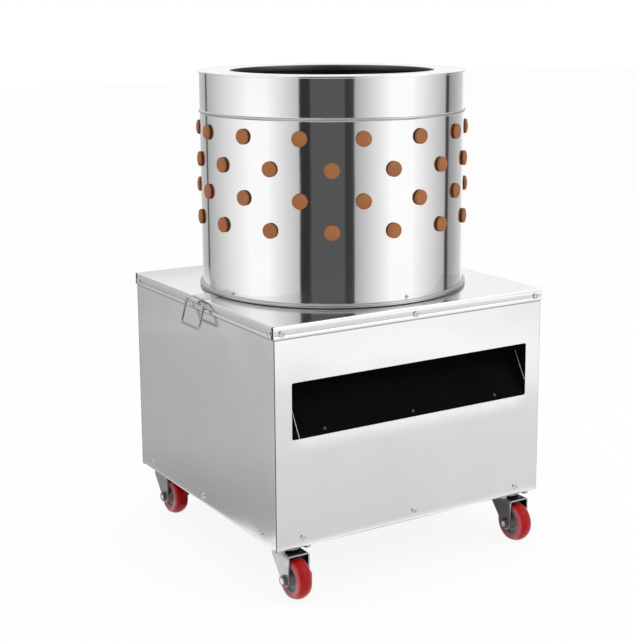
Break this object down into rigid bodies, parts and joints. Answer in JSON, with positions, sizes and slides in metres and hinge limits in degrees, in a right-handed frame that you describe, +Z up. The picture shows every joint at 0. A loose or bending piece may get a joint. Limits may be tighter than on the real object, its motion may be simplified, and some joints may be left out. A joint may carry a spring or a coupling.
{
  "type": "poultry plucker",
  "caption": "Drum poultry plucker: rubber-fingered stainless drum and spinning fingered plate on a sheet-steel cabinet with a feather chute, belt drive and swivel castors.",
  "frame": {"origin": "on the floor under the drum's axis, the centre of the overall box's bottom face", "axes": "+X to the machine's right as its front is faced, +Y to its back (the feather outlet faces -Y), +Z up along the drum's axis"},
  "size_m": [0.622, 0.611, 0.902],
  "materials": {
    "frame_steel": "satin grey",
    "panel_steel": "fine brushed stainless",
    "drum_steel": "bright rolled stainless",
    "dark_chute": "black",
    "bright_steel": "bright",
    "zinc": "zinc plated",
    "cast": "cast and turned",
    "motor_paint": "satin",
    "black_plastic": "matte",
    "black_rubber": "matte",
    "finger_rubber": "matte orange-brown",
    "box_plastic": "fine grain",
    "green_plastic": "gloss",
    "red_plastic": "gloss",
    "wheel_core": "satin light grey",
    "wheel_tread": "glossy red polyurethane"
  },
  "bodies": {
    "cabinet": {"base_rails": "frame_steel", "upper_frame": "frame_steel", "front_panel": "panel_steel", "rear_panel": "panel_steel", "left_panel": "panel_steel", "right_panel": "panel_steel", "lid": "panel_steel", "panel_screws": "bright_steel", "chute": "dark_chute", "chute_rivets": "bright_steel", "latch_straps": "bright_steel", "bearing_bridges": "frame_steel", "bearing_housings": "cast", "frame_bolts": "zinc", "shaft_seal": "black_rubber", "motor_rails": "frame_steel", "motor_plate": "frame_steel", "motor_housing": "motor_paint", "motor_fan_cover": "motor_paint", "motor_terminal_box": "motor_paint", "drive_belt": "black_rubber", "switch_box": "box_plastic", "cable_gland": "black_plastic", "castor_plates": "zinc"},
    "rotor": {"main_shaft": "bright_steel", "rotor_plate": "drum_steel", "rotor_fingers": "finger_rubber", "rotor_hub": "cast", "rotor_cap": "bright_steel", "driven_pulley": "cast", "bearing_rings": "bright_steel"},
    "motor_rotor": {"motor_shaft": "bright_steel", "motor_pulley": "cast", "motor_fan": "black_plastic"},
    "drum": {"drum_shell": "drum_steel", "drum_rim": "drum_steel", "drum_fingers": "finger_rubber", "drum_rivets": "bright_steel"},
    "bail_left": {"latch_bail_left": "bright_steel"},
    "bail_right": {"latch_bail_right": "bright_steel"},
    "start": {"start_button": "green_plastic"},
    "stop": {"stop_button": "red_plastic"},
    "castor_front_left": {"castor_fork_front_left": "zinc", "castor_axle_front_left": "zinc"},
    "wheel_front_left": {"wheel_core_front_left": "wheel_core", "wheel_tread_front_left": "wheel_tread"},
    "castor_front_right": {"castor_fork_front_right": "zinc", "castor_axle_front_right": "zinc"},
    "wheel_front_right": {"wheel_core_front_right": "wheel_core", "wheel_tread_front_right": "wheel_tread"},
    "castor_rear_left": {"castor_fork_rear_left": "zinc", "castor_axle_rear_left": "zinc"},
    "wheel_rear_left": {"wheel_core_rear_left": "wheel_core", "wheel_tread_rear_left": "wheel_tread"},
    "castor_rear_right": {"castor_fork_rear_right": "zinc", "castor_axle_rear_right": "zinc"},
    "wheel_rear_right": {"wheel_core_rear_right": "wheel_core", "wheel_tread_rear_right": "wheel_tread"}
  },
  "joints": [
    {"name": "rotor_spin", "type": "hinge", "parent": "cabinet", "child": "rotor", "pos_m": [0, 0, 0.504], "axis": [0, 0, 1], "continuous": true},
    {"name": "motor_spin", "type": "hinge", "parent": "cabinet", "child": "motor_rotor", "pos_m": [0, 0.17, 0.3], "axis": [0, 0, 1], "continuous": true},
    {"name": "drum_lift", "type": "slide", "parent": "cabinet", "child": "drum", "axis": [0, 0, 1], "range_m": [0, 0.25]},
    {"name": "bail_left_swing", "type": "hinge", "parent": "cabinet", "child": "bail_left", "pos_m": [-0.29655, 0, 0.48945], "axis": [0, 1, 0], "range_deg": [0, 165]},
    {"name": "bail_right_swing", "type": "hinge", "parent": "cabinet", "child": "bail_right", "pos_m": [0.29655, 0, 0.48945], "axis": [0, -1, 0], "range_deg": [0, 165]},
    {"name": "start_press", "type": "slide", "parent": "cabinet", "child": "start", "axis": [0, -1, 0], "range_m": [0, 0.003], "stiffness_N_per_m": 400},
    {"name": "stop_press", "type": "slide", "parent": "cabinet", "child": "stop", "axis": [0, -1, 0], "range_m": [0, 0.003], "stiffness_N_per_m": 400},
    {"name": "swivel_front_left", "type": "hinge", "parent": "cabinet", "child": "castor_front_left", "pos_m": [-0.246, -0.244, 0.0845], "axis": [0, 0, 1], "continuous": true},
    {"name": "roll_front_left", "type": "hinge", "parent": "castor_front_left", "child": "wheel_front_left", "pos_m": [-0.246, -0.268, 0.0375], "axis": [1, 0, 0], "continuous": true},
    {"name": "swivel_front_right", "type": "hinge", "parent": "cabinet", "child": "castor_front_right", "pos_m": [0.246, -0.244, 0.0845], "axis": [0, 0, 1], "continuous": true},
    {"name": "roll_front_right", "type": "hinge", "parent": "castor_front_right", "child": "wheel_front_right", "pos_m": [0.246, -0.268, 0.0375], "axis": [1, 0, 0], "continuous": true},
    {"name": "swivel_rear_left", "type": "hinge", "parent": "cabinet", "child": "castor_rear_left", "pos_m": [-0.246, 0.244, 0.0845], "axis": [0, 0, 1], "continuous": true},
    {"name": "roll_rear_left", "type": "hinge", "parent": "castor_rear_left", "child": "wheel_rear_left", "pos_m": [-0.246, 0.22, 0.0375], "axis": [1, 0, 0], "continuous": true},
    {"name": "swivel_rear_right", "type": "hinge", "parent": "cabinet", "child": "castor_rear_right", "pos_m": [0.246, 0.244, 0.0845], "axis": [0, 0, 1], "continuous": true},
    {"name": "roll_rear_right", "type": "hinge", "parent": "castor_rear_right", "child": "wheel_rear_right", "pos_m": [0.246, 0.22, 0.0375], "axis": [1, 0, 0], "continuous": true}
  ],
  "couplings": [
    {"joint": "motor_spin", "follows": "rotor_spin", "ratio": 4.0657}
  ]
}
